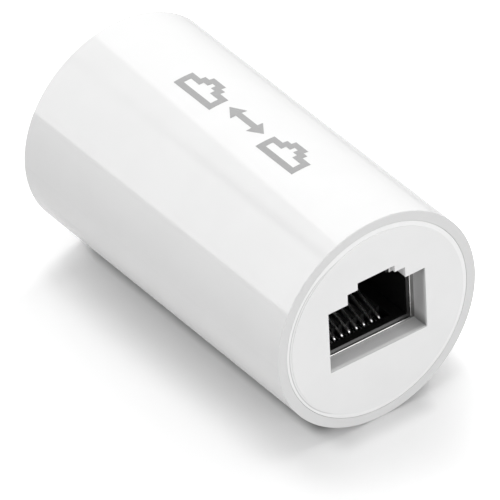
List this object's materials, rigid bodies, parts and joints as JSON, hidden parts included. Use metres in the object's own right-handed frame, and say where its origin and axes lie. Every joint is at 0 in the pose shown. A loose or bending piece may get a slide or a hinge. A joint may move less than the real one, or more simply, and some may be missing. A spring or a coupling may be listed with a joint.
{
  "type": "rj45 inline coupler",
  "caption": "Round white barrel that joins two network plugs end to end, with a latched modular socket set into a snap-in cap at each end.",
  "frame": {"origin": "centre of the rear cap's face, which it stands on", "axes": "+Z along the barrel towards the front socket; -Y is the side of both latches"},
  "size_m": [0.0268, 0.0268, 0.0474],
  "materials": {
    "barrel_white": "smooth gloss white",
    "cap_white": "fine satin white",
    "socket_black": "smooth moulded black",
    "carrier_black": "moulded black",
    "screen_metal": "bright plated sheet",
    "contact_plating": "bright plated wire",
    "board_green": "lacquered glass-fibre board"
  },
  "bodies": {
    "root": {"barrel": "barrel_white", "circuit_board": "board_green", "front_cap": "cap_white", "front_contact_1": "contact_plating", "front_contact_2": "contact_plating", "front_contact_3": "contact_plating", "front_contact_4": "contact_plating", "front_contact_5": "contact_plating", "front_contact_6": "contact_plating", "front_contact_7": "contact_plating", "front_contact_8": "contact_plating", "front_contact_carrier": "carrier_black", "front_screen": "screen_metal", "front_socket_housing": "socket_black", "rear_cap": "cap_white", "rear_contact_1": "contact_plating", "rear_contact_2": "contact_plating", "rear_contact_3": "contact_plating", "rear_contact_4": "contact_plating", "rear_contact_5": "contact_plating", "rear_contact_6": "contact_plating", "rear_contact_7": "contact_plating", "rear_contact_8": "contact_plating", "rear_contact_carrier": "carrier_black", "rear_screen": "screen_metal", "rear_socket_housing": "socket_black"}
  },
  "joints": []
}
